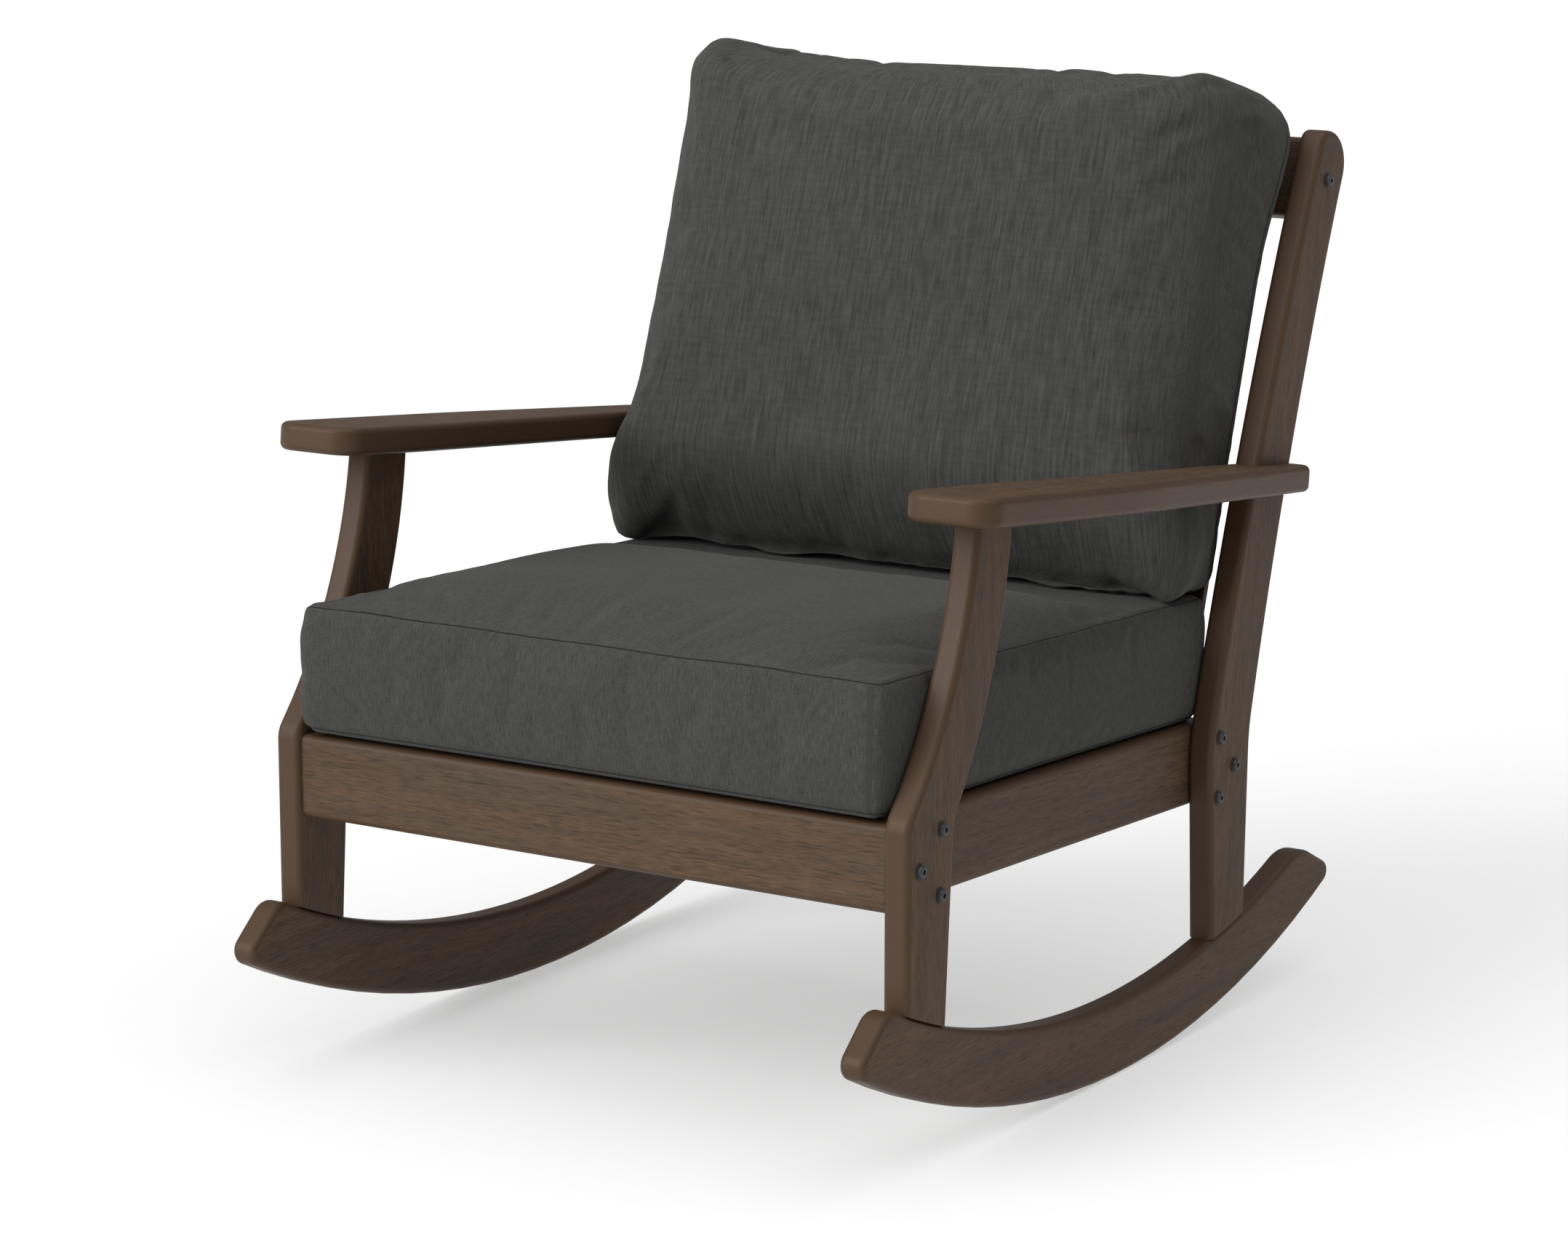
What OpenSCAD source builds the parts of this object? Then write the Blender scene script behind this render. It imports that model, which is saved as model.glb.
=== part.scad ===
// Outdoor rocking chair: rounded plank frame on two curved rockers, bolted through
// the legs, with a slatted seat and back and two loose box cushions.
// Millimetres, +X to the sitter's left, -Y forward, +Z up, floor at Z = 0.

/* [Frame] */
// Clear width between the two side frames
inner_w = 616; // [570:1:660]
// Thickness of the frame boards
board_t = 25.4; // [24:0.1:27]
// Forward position of the front legs' front faces
leg_face_y = -366.9; // [-368:0.1:-365]

/* [Rockers] */
// Radius of the rocking edge
rocker_r = 993; // [960:1:1030]
// Radius of the rocker's top edge
rocker_top_r = 977; // [960:1:990]
// Height of the rocker where it touches the floor
rocker_h = 69; // [66:0.5:72]
// Distance from the front legs' faces back to the point of contact
contact_d = 386; // [380:1:392]

/* [Seat] */
// Height of the front rail's bottom edge above the floor
rail_bottom_h = 231; // [226:1:236]
// Height of every frame rail
rail_h = 76.2; // [74:0.1:78]
// Thickness of the side rails
side_rail_t = 22.2; // [21:0.1:22.5]
// Slope of the side rails, down to the rear
seat_tilt = 2.45; // [2:0.05:3]
// Number of seat slats
seat_slats = 6; // [6]
// Width of a seat slat
seat_slat_w = 76.2; // [70:0.1:78]
// Thickness of a seat slat
seat_slat_t = 19; // [16:0.5:22]
// Thickness of the seat cushion
seat_cushion_t = 118; // [110:1:124]

/* [Back] */
// Slope of the back rails and slats from upright
back_tilt = 17.67; // [17.4:0.01:17.9]
// Number of back slats
back_slats = 7; // [7]
// Width of a back slat
back_slat_w = 63.5; // [60:0.1:66]
// Thickness of a back slat
back_slat_t = 12.7; // [12:0.1:13.5]
// Clear distance from the outer slat edges to the side frames
back_slat_inset = 22.7; // [20:0.1:25]
// Thickness of the back cushion
back_cushion_t = 142; // [130:1:150]

/* [Arms] */
// Height of the arm's top face above the floor, taken at the legs' front faces
arm_top_h = 586.3; // [584:0.1:588]
// Slope of the arms, down to the rear
arm_tilt = 5.88; // [5.7:0.01:6]
// Width of an arm at its front
arm_w = 88.9; // [86:0.1:90]

/* [Fasteners] */
// Diameter of the frame bolts
bolt_d = 6.4; // [6:0.1:6.6]
// Diameter of the bolt heads
bolt_head_d = 11.5; // [11:0.1:12]
// Diameter of the washers
washer_d = 14; // [13.5:0.1:14.5]
// Diameter of the wood screws
screw_d = 4.2; // [4:0.1:4.5]

/* [Hidden] */

wood = "#5a4334";
metal = "#2b2c2e";
steel = "#8a8c8e";
fabric = "#434241";
foam = "#e6dfc8";

gap = 0.1;
half_w = inner_w / 2;
outer_x = half_w + board_t;

// Front legs, as (distance behind the legs' front faces, height above the floor)
leg_bend_h = 310;
leg_front_r = 455.4;
leg_rear_bend = [77.6, 300];
leg_foot_d = 64.6;
leg_top_front_d = 112;
leg_top_rear_d = 171;
leg_rear_r = 497;

// Rear legs
stile_foot = [551, 618.6];
stile_bend = [542, 272];
stile_rear_bend = [623, 272];
stile_mid = [[634.6, 546], [703.5, 540]];
stile_top = [[750.5, 823], [813, 816]];

// Seat frame: its own axes start at the front faces and slope with the side rails
seat_origin_h = rail_bottom_h + 2.8;
front_rail_d = 5.8;
rear_bolt = [589, 244.8];
top_bolt = [758.1, 775.4];
cleat = 25.4;
slat_drop = 1;
cushion_lift = 0.6;
seat_cushion_front = 2;
seat_cushion_rear = 572;
cushion_half_w = 303;
wrap_t = 14;
back_wall_t = 9;

// Arms, as distances along the arm from the legs' front faces
arm_front = 56;
arm_end = 703;
arm_inner_x = half_w - 20.5;
arm_waist_x = half_w - 7.5;
arm_tail_x = outer_x + 20.8;

// Bolt places, as (distance along the seat frame, height above the rail's bottom edge)
side_bolt_low = 9.8;
side_bolt_high = 66.2;
front_bolt_d = 51.4;
rear_bolt_d = 557.4;
front_rail_bolt = [18.5, rail_bottom_h + 38.1];
bolt_l = 62;
head_h = 3.4;
washer_t = 1.2;
hex_d = 4.6;
socket_depth = 2.2;
nut_d = 8.4;
nut_l = 18;
barrel_d = 10;
barrel_l = 24;

function polar(c, r, a) = c + r * [cos(a), sin(a)];
function turn(a, b) = a[0] * b[1] - a[1] * b[0];

// Points of an arc of radius r from a to b; a positive r bulges to the right of a-b
function arc(a, b, r, n) =
    let (m = (a + b) / 2, d = b - a, l = norm(d), s = sign(r))
    let (c = m + s * sqrt(r * r - l * l / 4) * [-d[1], d[0]] / l)
    let (a0 = atan2(a[1] - c[1], a[0] - c[0]), a1 = atan2(b[1] - c[1], b[0] - c[0]))
    let (sweep = a1 - a0 > 180 ? a1 - a0 - 360 : a1 - a0 < -180 ? a1 - a0 + 360 : a1 - a0)
    [for (i = [0:n]) polar(c, abs(r), a0 + sweep * i / n)];

// Radius of the arc through three points, signed as arc() reads it
function arc_r(a, m, b) =
    let (cross3 = turn(b - a, m - a))
    -norm(b - a) * norm(m - a) * norm(b - m) / (2 * cross3);

// Rounds the corner at b between a and c
function fillet(a, b, c, r, n = 8) =
    let (u = (a - b) / norm(a - b), v = (c - b) / norm(c - b))
    let (half = acos(u * v) / 2, reach = r / tan(half))
    arc(b + reach * u, b + reach * v, r * sign(turn(b - a, c - b)), n);

// A closed outline from corners given as [point, radius]
function rounded(corners, n = 8) = [
    for (i = [0:len(corners) - 1])
        let (k = len(corners), a = corners[(i + k - 1) % k], b = corners[i], c = corners[(i + 1) % k])
        each b[1] > 0 ? fillet(a[0], b[0], c[0], b[1], n) : [b[0]]
];

// The rocker's edges are drawn in short straight steps, the lowest one centred on the contact
low_step = 40;
high_step = 20;

function rocker_low(d) = rocker_r - sqrt(rocker_r ^ 2 - (d - contact_d) ^ 2);
function rocker_high(d) =
    rocker_h + rocker_top_r - sqrt(rocker_top_r ^ 2 - (d - contact_d) ^ 2);
function rocker_edge(d) =
    let (a = floor(d / high_step) * high_step, t = (d - a) / high_step)
    (1 - t) * rocker_high(a) + t * rocker_high(a + high_step);
function arm_under(d) = arm_top_h - board_t / cos(arm_tilt) - d * tan(arm_tilt);

// Lays an outline drawn as (distance back, height) across the chair from x to x + t
module side_board(x, t, outline) {
    translate([x, leg_face_y, 0]) rotate([90, 0, 90]) linear_extrude(t) polygon(outline);
}

// Places children in the seat's sloping axes
module in_seat() {
    translate([0, leg_face_y, seat_origin_h]) rotate([-seat_tilt, 0, 0]) children();
}

// Places children with Z up the back, Y square to it, at a point (distance back, height)
module on_back(p) {
    translate([0, leg_face_y + p[0], p[1]]) rotate([-back_tilt, 0, 0]) children();
}

// Places children with Y along the arm and Z square to its top face
module in_arm() {
    translate([0, leg_face_y, arm_top_h]) rotate([-arm_tilt, 0, 0]) children();
}

module box(low, high) {
    translate(low) cube(high - low);
}

// A rod or a bore lying across the chair on the given side, from x inward
module x_rod(x, side, d, l, n = 24) {
    translate([side * x, 0, 0]) rotate([0, -90 * side, 0]) cylinder(d = d, h = l, $fn = n);
}

// The same, from x outward
module x_rod_out(x, side, d, l) {
    translate([side * x, 0, 0]) rotate([0, 90 * side, 0]) cylinder(d = d, h = l, $fn = 24);
}

// ---- Rockers ----

rocker_nose = [-80, rocker_low(-80)];
rocker_brow = [-28, rocker_high(-28)];
rocker_tail = [813.5, rocker_low(813.5)];
rocker_heel = [737, rocker_high(737)];

function rocker_outline() = concat(
    fillet(rocker_brow, rocker_nose, [-50, rocker_low(-50)], 14),
    [for (i = [-10.5:9.5]) [contact_d + i * low_step, rocker_low(contact_d + i * low_step)]],
    fillet([780, rocker_low(780)], rocker_tail, rocker_heel, 11.5),
    fillet(rocker_tail, rocker_heel, [700, rocker_high(700)], 60, 12),
    [for (d = [700:-high_step:0]) [d, rocker_high(d)]],
    fillet([0, rocker_high(0)], rocker_brow, rocker_nose, 22)
);

// Places children on the rocker's top edge at distance d, with Z square to the edge
module at_rocker(d) {
    lean = asin((d - contact_d) / rocker_top_r);
    translate([0, leg_face_y + d, rocker_high(d)]) rotate([lean, 0, 0]) children();
}

rocker_screw_d = [20, 46, 572, 600];
rocker_screw_l = 92;
rocker_screw_head = 9;
screw_sink = 24;

// One long screw up through the rocker into a leg, its head sunk in the rocking edge
module rocker_screw(extra) {
    translate([0, 0, screw_sink - rocker_h]) {
        cylinder(d = 6 + extra, h = rocker_screw_l + extra, $fn = 24);
        cylinder(d = rocker_screw_head + extra, h = 5 + extra / 2, $fn = 24);
    }
}

module rocker_bores(side) {
    for (d = rocker_screw_d) {
        translate([side * (half_w + board_t / 2), 0, 0]) at_rocker(d) {
            rocker_screw(gap);
            translate([0, 0, -rocker_h - 20])
                cylinder(d = rocker_screw_head + gap, h = 20 + screw_sink + 1, $fn = 24);
        }
    }
}

module rocker(side) {
    color(wood) difference() {
        side_board(side > 0 ? half_w : -outer_x, board_t, rocker_outline());
        rocker_bores(side);
    }
}

module rocker_screws() {
    color(steel) for (side = [-1, 1], d = rocker_screw_d) {
        translate([side * (half_w + board_t / 2), 0, 0]) at_rocker(d) difference() {
            rocker_screw(0);
            translate([0, 0, screw_sink - rocker_h - 1]) cylinder(d = hex_d, h = 3, $fn = 6);
        }
    }
}

// ---- Legs ----

function on_front_curve(h) = sqrt(leg_front_r ^ 2 - (h - 616.1) ^ 2) - 337.1;

function front_leg_outline() =
    let (knee = [0, leg_bend_h], tf = [leg_top_front_d, arm_under(leg_top_front_d)])
    let (tr = [leg_top_rear_d, arm_under(leg_top_rear_d)])
    let (foot = [leg_foot_d, rocker_edge(leg_foot_d)])
    let (rear = arc(leg_rear_bend, tr, leg_rear_r, 24))
    let (front = arc(tf, knee, -leg_front_r, 24))
    concat(
        [for (d = [0:high_step:60]) [d, rocker_high(d)]],
        [foot],
        fillet(foot, leg_rear_bend, rear[3], 30, 6),
        [for (i = [3:24]) rear[i]],
        [for (i = [0:21]) front[i]],
        fillet(front[21], knee, [0, 200], 25, 6)
    );

function rear_leg_outline() =
    let (foot_f = [stile_foot[0], rocker_edge(stile_foot[0])])
    let (foot_r = [stile_foot[1], rocker_edge(stile_foot[1])])
    let (fr = arc_r(stile_top[0], stile_mid[0], stile_bend))
    let (rr = arc_r(stile_rear_bend, stile_mid[1], stile_top[1]))
    let (front = arc(stile_top[0], stile_bend, fr, 30))
    let (rear = arc(stile_rear_bend, stile_top[1], rr, 30))
    concat(
        [foot_f],
        [for (d = [560:high_step:600]) [d, rocker_high(d)]],
        [foot_r],
        fillet(foot_r, stile_rear_bend, rear[3], 160, 6),
        [for (i = [3:27]) rear[i]],
        fillet(rear[27], stile_top[1], stile_top[0], 33, 12),
        fillet(stile_top[1], stile_top[0], front[2], 12),
        [for (i = [2:27]) front[i]],
        fillet(front[27], stile_bend, foot_f, 160, 6)
    );

// The bolts of one side: children at each place, X pointing outward from the chair's middle
module at_side_bolts(d) {
    for (h = [side_bolt_low, side_bolt_high]) {
        in_seat() translate([0, d, h]) children();
    }
}

module at_rail_bolt(p) {
    translate([0, leg_face_y + p[0], p[1]]) children();
}

module leg_bores(side) {
    at_side_bolts(front_bolt_d) x_rod(outer_x + 1, side, bolt_d + gap, board_t + 40);
    at_side_bolts(rear_bolt_d) x_rod(outer_x + 1, side, bolt_d + gap, board_t + 40);
    for (p = [front_rail_bolt, rear_bolt, top_bolt]) {
        at_rail_bolt(p) x_rod(outer_x + 1, side, bolt_d + gap, board_t + 40);
    }
}

stud_d = 6;
stud_half = 17;
stud_places = [126, 158];

module at_studs(side) {
    for (d = stud_places) {
        translate([side * (half_w + board_t / 2), leg_face_y + d, arm_under(d)])
            rotate([-arm_tilt, 0, 0]) children();
    }
}

module front_leg(side) {
    color(wood) difference() {
        side_board(side > 0 ? half_w : -outer_x, board_t, front_leg_outline());
        leg_bores(side);
        rocker_bores(side);
        at_studs(side) translate([0, 0, -40]) cylinder(d = stud_d + gap, h = 41, $fn = 24);
    }
}

module rear_leg(side) {
    color(wood) difference() {
        side_board(side > 0 ? half_w : -outer_x, board_t, rear_leg_outline());
        leg_bores(side);
        rocker_bores(side);
        at_arm_screws() arm_screw(side, gap);
    }
}

// ---- Rails ----

module rail_end_bores(p) {
    for (side = [-1, 1]) {
        at_rail_bolt(p) x_rod(half_w + 1, side, bolt_d + gap, bolt_l);
        at_rail_bolt(p) translate([side * (half_w - 22), 0, 0]) children();
    }
}

module front_rail() {
    color(wood) difference() {
        translate([-half_w, leg_face_y + front_rail_d, rail_bottom_h])
            cube([inner_w, board_t, rail_h]);
        rail_end_bores(front_rail_bolt) barrel_bore();
    }
}

// A crossing bore for a barrel nut, open at the rail's lower edge
module barrel_bore() {
    translate([0, 0, -rail_h / 2 - 1])
        cylinder(d = barrel_d + gap, h = rail_h / 2 + 1 + barrel_l / 2 + gap, $fn = 32);
}

module back_rail(p) {
    difference() {
        on_back(p) translate([-half_w, -board_t / 2, -rail_h / 2]) cube([inner_w, board_t, rail_h]);
        rail_end_bores(p) rotate([-back_tilt, 0, 0]) barrel_bore();
    }
}

module rear_rail() {
    color(wood) difference() {
        back_rail(rear_bolt);
        at_slat_screws() slat_screw(gap);
    }
}

module top_rail() {
    color(wood) difference() {
        back_rail(top_bolt);
        at_slat_screws() slat_screw(gap);
    }
}

// The side rail runs from the front rail's rear face to the rear rail's front face
module side_rail_blank(side) {
    x = side > 0 ? half_w - side_rail_t : -half_w;
    difference() {
        in_seat() box([x, 0, 0], [x + side_rail_t, 600, rail_h]);
        translate([-400, leg_face_y - 50, 0])
            cube([800, 50 + front_rail_d + board_t + gap, 500]);
        on_back(rear_bolt) translate([-400, -board_t / 2 - gap, -100]) cube([800, 200, 250]);
    }
}

module side_rail(side) {
    color(wood) difference() {
        side_rail_blank(side);
        for (d = [front_bolt_d, rear_bolt_d]) {
            at_side_bolts(d) x_rod(half_w + 1, side, bolt_d + gap, side_rail_t + 2);
            at_side_bolts(d) x_rod(cleat_x + nut_l, side, nut_d + gap, nut_l + 1);
        }
        at_cleat_screws() cleat_screw(side, gap);
    }
}

// ---- Seat support ----

seat_run_start = 36;
seat_run_end = 556;
seat_pitch = (seat_run_end - seat_run_start - seat_slat_w) / (seat_slats - 1);
slat_top = rail_h - slat_drop;
cleat_top = slat_top - seat_slat_t;
cleat_x = half_w - side_rail_t;

module cleat_blank(side) {
    x = side > 0 ? cleat_x - cleat : -cleat_x;
    in_seat() box([x, seat_run_start, cleat_top - cleat], [x + cleat, seat_run_end, cleat_top]);
}

module seat_cleat(side) {
    color(wood) difference() {
        cleat_blank(side);
        at_cleat_screws() cleat_screw(side, gap);
        at_seat_screws() seat_screw(gap);
    }
}

// The cleats are held under the middles of these seat slats, clear of the slats' own screws
cleat_screws_at = [1, 3, 4, 6];

module at_cleat_screws() {
    for (i = cleat_screws_at) {
        in_seat() translate([0, seat_slat_d(i) + seat_slat_w / 2, cleat_top - cleat / 2]) children();
    }
}

cleat_screw_l = 38;

module cleat_screw(side, extra) {
    x_rod_out(cleat_x - cleat - extra, side, screw_d + extra, cleat_screw_l + 2 * extra);
    x_rod_out(cleat_x - cleat - extra, side, 8 + extra, 2.5 + 2 * extra);
}

module cleat_screws() {
    color(steel) for (side = [-1, 1]) {
        at_cleat_screws() cleat_screw(side, 0);
    }
}

function seat_slat_d(i) = seat_run_start + (i - 1) * seat_pitch;

module seat_slat(i) {
    d = seat_slat_d(i);
    color(wood) difference() {
        in_seat() box([-cleat_x + 1, d, cleat_top], [cleat_x - 1, d + seat_slat_w, slat_top]);
        at_seat_screws() seat_screw(gap);
    }
}

module at_seat_screws() {
    for (side = [-1, 1], i = [1:seat_slats], e = [0.25, 0.75]) {
        in_seat() translate([side * (cleat_x - cleat / 2), seat_slat_d(i) + e * seat_slat_w, slat_top])
            children();
    }
}

module seat_screw(extra) {
    translate([0, 0, -34 - extra]) cylinder(d = screw_d + extra, h = 34 + extra, $fn = 16);
    translate([0, 0, -2.5 - extra]) cylinder(d = 8 + extra, h = 2.5 + 2 * extra, $fn = 16);
}

module seat_slat_screws() {
    color(steel) at_seat_screws() seat_screw(0);
}

// ---- Back slats ----

back_span = inner_w - 2 * back_slat_inset;
back_pitch = (back_span - back_slat_w) / (back_slats - 1);
slat_low = -rail_h / 2;
slat_high = norm(top_bolt - rear_bolt) + rail_h / 2 - 8;
slat_screw_up = [12, norm(top_bolt - rear_bolt) - 8];

function back_slat_x(i) = -back_span / 2 + (i - 1) * back_pitch;

module back_slat(i) {
    x = back_slat_x(i);
    color(wood) difference() {
        on_back(rear_bolt) box(
            [x, -board_t / 2 - back_slat_t, slat_low + 42],
            [x + back_slat_w, -board_t / 2, slat_high]
        );
        at_slat_screws() slat_screw(gap);
    }
}

module at_slat_screws() {
    for (i = [1:back_slats], up = slat_screw_up, e = [0.25, 0.75]) {
        on_back(rear_bolt)
            translate([back_slat_x(i) + e * back_slat_w, -board_t / 2 - back_slat_t, up])
            rotate([-90, 0, 0]) children();
    }
}

module slat_screw(extra) {
    cylinder(d = screw_d + extra, h = 30 + extra, $fn = 16);
    translate([0, 0, -extra]) cylinder(d = 8 + extra, h = 2.5 + 2 * extra, $fn = 16);
}

module back_slat_screws() {
    color(steel) at_slat_screws() slat_screw(0);
}

// ---- Arms ----

function arm_outline() = rounded([
    [[arm_inner_x, arm_front], 25],
    [[arm_inner_x + arm_w, arm_front], 25],
    [[arm_inner_x + arm_w, 330], 1800],
    [[arm_tail_x, arm_end], 10],
    [[half_w + 2, arm_end], 0],
    [[arm_waist_x, 600], 0],
    [[arm_waist_x, 500], 700],
    [[arm_inner_x, 180], 700]
], 12);

arm_screw_mid = 656;
arm_screw_step = [-15, 15];

// Screws from inside the rear leg into the arm's tail, half way up the arm
module at_arm_screws() {
    for (e = arm_screw_step) {
        in_arm() translate([0, arm_screw_mid + e, -board_t / 2]) children();
    }
}

module arm_blank(side) {
    in_arm() mirror([side > 0 ? 0 : 1, 0, 0])
        translate([0, 0, -board_t]) linear_extrude(board_t) polygon(arm_outline());
}

// Everything behind the rear leg's front edge and inside its outer face
module arm_notch(side) {
    x = side > 0 ? half_w - 40 : -outer_x - gap;
    f = rear_leg_outline();
    side_board(x, 40 + board_t + gap, concat(
        [for (p = f) if (p[1] > 420 && p[1] < 620 && p[0] < 640 + 0.4 * (p[1] - 520)) p - [gap, 0]],
        [[600, 420], [900, 420], [900, 620]]
    ));
}

module arm(side) {
    color(wood) difference() {
        arm_blank(side);
        arm_notch(side);
        at_studs(side) translate([0, 0, -1]) cylinder(d = stud_d + gap, h = stud_half + 1.5, $fn = 24);
        at_arm_screws() arm_screw(side, gap);
    }
}

// A screw whose flush head lies in the inner face of the rear leg
module arm_screw(side, extra) {
    x_rod_out(half_w - extra, side, screw_d + extra, 38 + 2 * extra);
    x_rod_out(half_w - extra, side, 9 + extra, 3 + 2 * extra);
}

module arm_screws() {
    color(metal) for (side = [-1, 1]) {
        at_arm_screws() arm_screw(side, 0);
    }
}

module arm_studs() {
    color(steel) for (side = [-1, 1]) {
        at_studs(side) translate([0, 0, -38]) cylinder(d = stud_d, h = 38 + stud_half, $fn = 24);
    }
}

// ---- Frame bolts ----

// A round-headed bolt with a hexagon socket, its head standing off the washer at x
module frame_bolt(side) {
    seat_x = outer_x + washer_t;
    difference() {
        union() {
            x_rod(seat_x, side, bolt_d - gap, bolt_l - 14);
            x_rod(seat_x + head_h, side, bolt_head_d - 4, head_h);
            x_rod(seat_x + head_h - 0.8, side, bolt_head_d - 1.6, head_h - 0.8);
            x_rod(seat_x + head_h - 2, side, bolt_head_d, head_h - 2);
        }
        x_rod(seat_x + head_h + 1, side, hex_d, socket_depth + 1, 6);
    }
}

module washer(side) {
    difference() {
        x_rod(outer_x + washer_t, side, washer_d, washer_t);
        x_rod(outer_x + washer_t + 1, side, bolt_d + gap, washer_t + 2);
    }
}

module front_leg_bolts() {
    color(metal) for (side = [-1, 1]) {
        at_side_bolts(front_bolt_d) frame_bolt(side);
        at_rail_bolt(front_rail_bolt) frame_bolt(side);
    }
}

module rear_leg_bolts() {
    color(metal) for (side = [-1, 1]) {
        at_side_bolts(rear_bolt_d) frame_bolt(side);
        at_rail_bolt(rear_bolt) frame_bolt(side);
    }
}

module top_rail_bolts() {
    color(metal) for (side = [-1, 1]) {
        at_rail_bolt(top_bolt) frame_bolt(side);
    }
}

module bolt_washers() {
    color(metal) for (side = [-1, 1]) {
        at_side_bolts(front_bolt_d) washer(side);
        at_side_bolts(rear_bolt_d) washer(side);
        for (p = [front_rail_bolt, rear_bolt, top_bolt]) {
            at_rail_bolt(p) washer(side);
        }
    }
}

// Sleeve nuts let into the side rails' inner faces
module side_rail_nuts() {
    color(steel) for (side = [-1, 1], d = [front_bolt_d, rear_bolt_d]) {
        at_side_bolts(d) difference() {
            x_rod(cleat_x + nut_l - 1, side, nut_d, nut_l - 1);
            x_rod(cleat_x + nut_l, side, bolt_d + gap / 2, nut_l + 2);
        }
    }
}

module barrel_nut(side) {
    difference() {
        translate([side * (half_w - 22), 0, -barrel_l / 2]) cylinder(d = barrel_d, h = barrel_l, $fn = 32);
        x_rod(half_w, side, bolt_d + gap / 2, 40);
    }
}

module barrel_nuts() {
    color(steel) for (side = [-1, 1]) {
        at_rail_bolt(front_rail_bolt) barrel_nut(side);
        for (p = [rear_bolt, top_bolt]) {
            at_rail_bolt(p) rotate([-back_tilt, 0, 0]) barrel_nut(side);
        }
    }
}

// ---- Cushions ----

// Seat cushion's side profile in the seat's axes, shrunk by s
function seat_profile(s) =
    let (b = rail_h + cushion_lift + s, t = rail_h + cushion_lift + seat_cushion_t - s)
    let (f = seat_cushion_front + s, r = seat_cushion_rear - s)
    rounded([[[f, b], 18], [[r, b], 18], [[r + 14, t], 22], [[f, t], 22]]);

module seat_profile_solid(s) {
    w = cushion_half_w - s;
    in_seat() translate([-w, 0, 0]) rotate([90, 0, 90]) linear_extrude(2 * w) polygon(seat_profile(s));
}

// Back cushion's side profile with Y square to the back and Z up it, from the rear rail's bolt
back_high = 620;

// Height up the back, at distance y, of the line just above the seat cushion's top
function on_seat(y) =
    let (w = rail_h + 2 * cushion_lift + seat_cushion_t)
    let (p = [w * sin(seat_tilt), seat_origin_h + w * cos(seat_tilt)] - rear_bolt)
    let (yp = p * [cos(back_tilt), -sin(back_tilt)], zp = p * [sin(back_tilt), cos(back_tilt)])
    zp + (y - yp) * tan(back_tilt - seat_tilt);

function back_profile(s) =
    let (r = -board_t / 2 - back_slat_t - cushion_lift - s, f = r - back_cushion_t + 2 * s)
    rounded([
        [[f, on_seat(f) + 1.04 * s], 42], [[r, on_seat(r) + 1.04 * s], 20],
        [[r, back_high - s], 40], [[f, back_high - s], 55]
    ]);

module back_profile_solid(s) {
    w = cushion_half_w - 3 - s;
    on_back(rear_bolt) translate([-w, 0, 0]) rotate([90, 0, 90]) linear_extrude(2 * w)
        polygon(back_profile(s));
}

module seat_cushion_cover() {
    color(fabric) difference() {
        seat_profile_solid(0);
        seat_profile_solid(wrap_t);
    }
}

module seat_foam_core() {
    color(foam) seat_profile_solid(wrap_t + gap);
}

// The back cushion's loose filling has no shape of its own: its cover and wrap are one wall
module back_cushion_cover() {
    color(fabric) difference() {
        back_profile_solid(0);
        back_profile_solid(back_wall_t);
    }
}

rocker(1);  // left_rocker
rocker(-1);  // right_rocker
front_leg(1);  // left_front_leg
front_leg(-1);  // right_front_leg
rear_leg(1);  // left_rear_leg
rear_leg(-1);  // right_rear_leg
front_rail();
rear_rail();
side_rail(1);  // left_side_rail
side_rail(-1);  // right_side_rail
seat_cleat(1);  // left_seat_cleat
seat_cleat(-1);  // right_seat_cleat
for (i = [1:seat_slats]) {
    seat_slat(i);
}
top_rail();
for (i = [1:back_slats]) {
    back_slat(i);
}
arm(1);  // left_arm
arm(-1);  // right_arm
front_leg_bolts();
rear_leg_bolts();
top_rail_bolts();
bolt_washers();
side_rail_nuts();
barrel_nuts();
rocker_screws();
arm_screws();
arm_studs();
cleat_screws();
seat_slat_screws();
back_slat_screws();
seat_cushion_cover();
seat_foam_core();
back_cushion_cover();
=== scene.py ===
"""An outdoor rocking armchair: a bolted plank frame on two curved rockers, with a loose seat cushion and a
loose back cushion."""

import random
from math import cos, pi, radians, sin, tau

import bmesh
import bpy
import numpy as np
from mathutils import Matrix, Vector, noise


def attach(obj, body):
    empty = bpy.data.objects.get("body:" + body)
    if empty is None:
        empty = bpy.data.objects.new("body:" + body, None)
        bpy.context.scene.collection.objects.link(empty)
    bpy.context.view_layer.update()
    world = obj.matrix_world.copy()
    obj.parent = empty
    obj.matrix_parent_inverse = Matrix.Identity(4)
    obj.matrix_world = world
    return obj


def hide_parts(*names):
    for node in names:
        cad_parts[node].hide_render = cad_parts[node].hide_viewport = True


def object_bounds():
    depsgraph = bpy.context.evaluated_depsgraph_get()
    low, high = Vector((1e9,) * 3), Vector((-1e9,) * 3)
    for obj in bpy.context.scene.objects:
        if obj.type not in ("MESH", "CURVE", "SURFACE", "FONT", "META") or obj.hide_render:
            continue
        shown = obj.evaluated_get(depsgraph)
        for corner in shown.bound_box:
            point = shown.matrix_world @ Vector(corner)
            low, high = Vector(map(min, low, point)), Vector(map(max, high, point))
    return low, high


bl_info = {
    "name": "Rocking Armchair",
    "version": (1, 0, 0),
    "blender": (4, 5, 0),
    "location": "View3D > Sidebar > Rocking Chair",
    "description": "Rounded boards, bolts and stuffed cushions for a bolted plank rocking chair",
    "category": "Object",
}

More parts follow.
